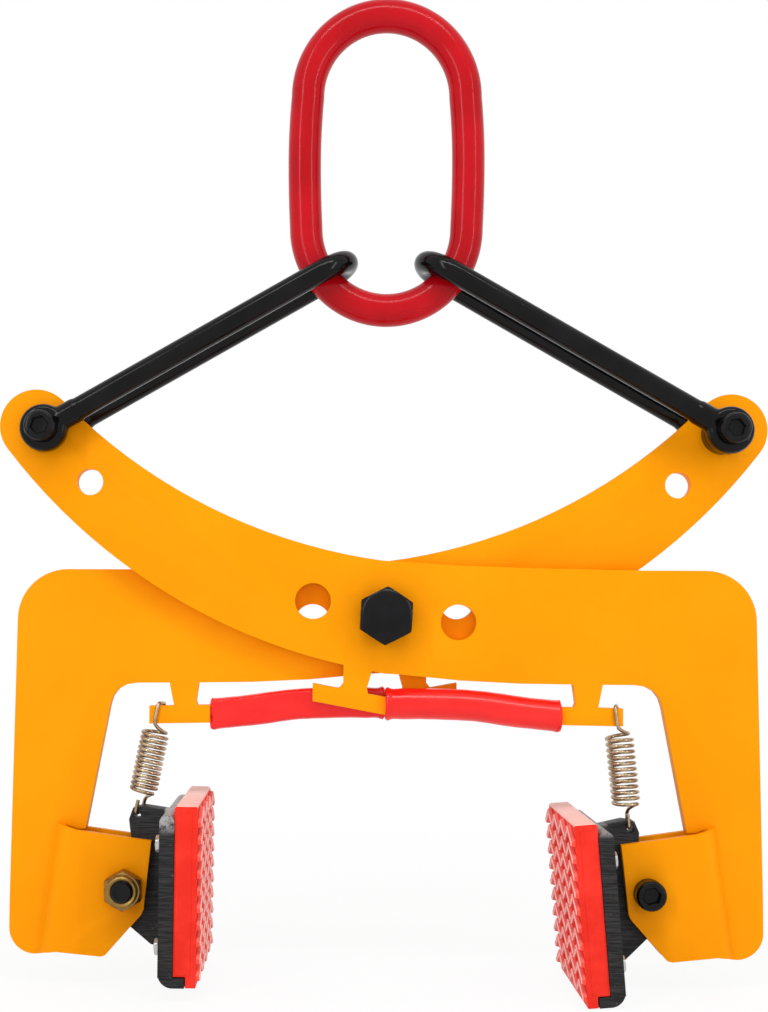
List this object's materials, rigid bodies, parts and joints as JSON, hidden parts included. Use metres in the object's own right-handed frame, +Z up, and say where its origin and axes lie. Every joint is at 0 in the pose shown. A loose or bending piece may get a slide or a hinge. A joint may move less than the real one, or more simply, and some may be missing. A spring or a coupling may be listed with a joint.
{
  "type": "stone lifting clamp",
  "caption": "Scissor lifting clamp with crossed plate arms, twin shackles on an oval link, carrying grips and hinged rubber-faced jaws.",
  "frame": {"origin": "bearing point of the hanging link, at the top of its inside", "axes": "+Z up, +X across the jaws towards the right jaw, -Y towards the front of the clamp"},
  "size_m": [0.4092, 0.1016, 0.5272],
  "materials": {
    "arm_paint": "glossy",
    "link_paint": "glossy",
    "shackle_steel": "satin",
    "grip_rubber": "satin",
    "carrier_steel": "worn satin",
    "pad_rubber": "satin",
    "yellow_zinc": "satin",
    "zinc": "satin",
    "black_bolt": "satin"
  },
  "bodies": {
    "master_link": {"master_link": "link_paint"},
    "left_shackle": {"left_shackle": "shackle_steel", "left_shackle_bolt": "black_bolt", "left_shackle_nut": "yellow_zinc", "left_spacer_long": "zinc", "left_spacer_short": "zinc"},
    "front_arm": {"front_arm": "arm_paint", "front_cheek_outer": "arm_paint", "front_cheek_inner": "arm_paint", "front_grip": "grip_rubber", "pivot_bolt": "black_bolt", "pivot_washer_front": "zinc", "pivot_washer_back": "zinc", "arm_washer": "zinc", "pivot_nut": "yellow_zinc", "right_pad_bolt": "black_bolt", "right_pad_nut": "yellow_zinc", "right_spring": "yellow_zinc"},
    "rear_arm": {"rear_arm": "arm_paint", "rear_cheek_outer": "arm_paint", "rear_cheek_inner": "arm_paint", "rear_grip": "grip_rubber", "left_pad_bolt": "black_bolt", "left_pad_nut": "yellow_zinc", "left_spring": "yellow_zinc"},
    "right_shackle": {"right_shackle": "shackle_steel", "right_shackle_bolt": "black_bolt", "right_shackle_nut": "yellow_zinc", "right_spacer_long": "zinc", "right_spacer_short": "zinc"},
    "right_jaw": {"right_carrier": "carrier_steel", "right_pad": "pad_rubber", "right_pad_screws": "zinc"},
    "left_jaw": {"left_carrier": "carrier_steel", "left_pad": "pad_rubber", "left_pad_screws": "zinc"}
  },
  "joints": [
    {"name": "grip", "type": "hinge", "parent": "front_arm", "child": "rear_arm", "pos_m": [0, 0, -0.312], "axis": [0, -1, 0], "range_deg": [-23, 43.6]},
    {"name": "left_shackle_swing", "type": "hinge", "parent": "master_link", "child": "left_shackle", "pos_m": [0, 0, -0.105], "axis": [0, 1, 0], "range_deg": [-20.4, 10.9]},
    {"name": "front_arm_swing", "type": "hinge", "parent": "left_shackle", "child": "front_arm", "pos_m": [-0.1798, 0, -0.2142], "axis": [0, 1, 0], "range_deg": [-22.4, 42.2]},
    {"name": "right_shackle_swing", "type": "hinge", "parent": "rear_arm", "child": "right_shackle", "pos_m": [0.1798, 0, -0.2142], "axis": [0, 1, 0], "range_deg": [-22.4, 42.2]},
    {"name": "right_jaw_tilt", "type": "hinge", "parent": "front_arm", "child": "right_jaw", "pos_m": [0.1383, 0, -0.4574], "axis": [0, 1, 0], "range_deg": [-12, 12], "stiffness_Nm_per_rad": 6, "deforming": ["right_spring"]},
    {"name": "left_jaw_tilt", "type": "hinge", "parent": "rear_arm", "child": "left_jaw", "pos_m": [-0.1383, 0, -0.4574], "axis": [0, 1, 0], "range_deg": [-12, 12], "stiffness_Nm_per_rad": 6, "deforming": ["left_spring"]}
  ],
  "couplings": [
    {"joint": "left_shackle_swing", "follows": "grip", "ratio": -0.4575},
    {"joint": "front_arm_swing", "follows": "grip", "ratio": 0.9575},
    {"joint": "right_shackle_swing", "follows": "grip", "ratio": 0.9575}
  ]
}
